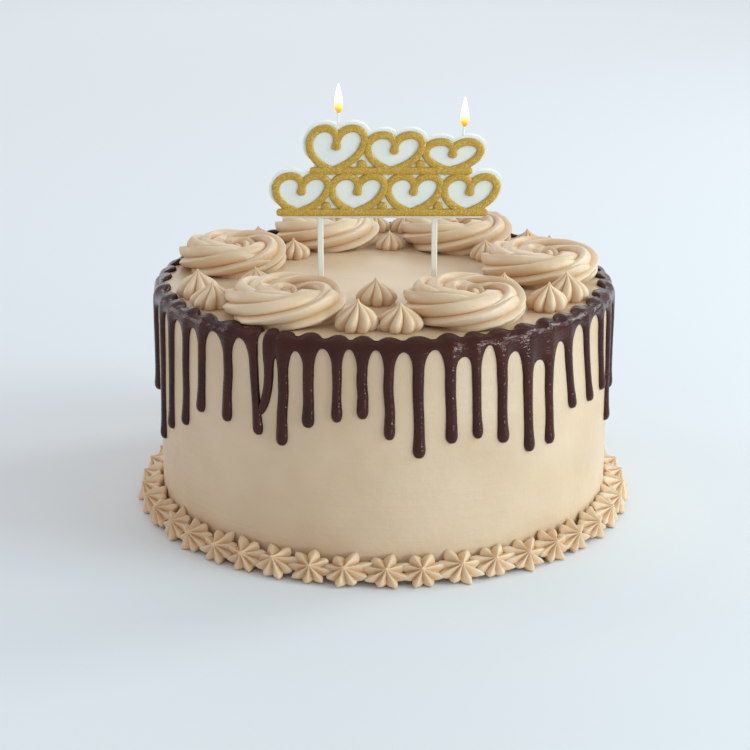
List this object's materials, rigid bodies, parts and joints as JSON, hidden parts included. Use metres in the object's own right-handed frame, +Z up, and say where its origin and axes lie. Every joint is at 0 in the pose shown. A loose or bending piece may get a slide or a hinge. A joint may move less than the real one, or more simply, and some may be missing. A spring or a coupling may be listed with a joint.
{
  "type": "drip cake",
  "caption": "Round buttercream cake with a chocolate drip, piped rosettes and stars on top, a piped star border and a gold scrollwork candle on sticks.",
  "frame": {"origin": "middle of the cake's flat base", "axes": "+Z up, the candle's gold face and the shown side towards -Y, +X to the right as seen from the front"},
  "size_m": [0.2591, 0.2582, 0.2039],
  "materials": {
    "buttercream": "smoothed cream icing",
    "piped_buttercream": "piped cream icing",
    "chocolate": "glossy dark chocolate",
    "white_wax": "satin wax",
    "gold": "gold glitter coat",
    "white_plastic": "satin"
  },
  "bodies": {
    "root": {"cake": "buttercream", "chocolate_drips": "chocolate", "rosette_front_left": "piped_buttercream", "rosette_front_right": "piped_buttercream", "rosette_right": "piped_buttercream", "rosette_back_right": "piped_buttercream", "rosette_back_left": "piped_buttercream", "rosette_left": "piped_buttercream", "drop_star_outer_1": "piped_buttercream", "drop_star_outer_2": "piped_buttercream", "drop_star_outer_3": "piped_buttercream", "drop_star_outer_4": "piped_buttercream", "drop_star_outer_5": "piped_buttercream", "drop_star_outer_6": "piped_buttercream", "drop_star_outer_7": "piped_buttercream", "drop_star_outer_8": "piped_buttercream", "drop_star_outer_9": "piped_buttercream", "drop_star_outer_10": "piped_buttercream", "drop_star_outer_11": "piped_buttercream", "drop_star_outer_12": "piped_buttercream", "drop_star_inner_1": "piped_buttercream", "drop_star_inner_2": "piped_buttercream", "drop_star_inner_3": "piped_buttercream", "drop_star_inner_4": "piped_buttercream", "drop_star_inner_5": "piped_buttercream", "drop_star_inner_6": "piped_buttercream", "star_border": "piped_buttercream", "candle_wax": "white_wax", "candle_gold": "gold", "stick_left": "white_plastic", "stick_right": "white_plastic", "wick_left": "white_plastic", "wick_right": "white_plastic"}
  },
  "joints": []
}
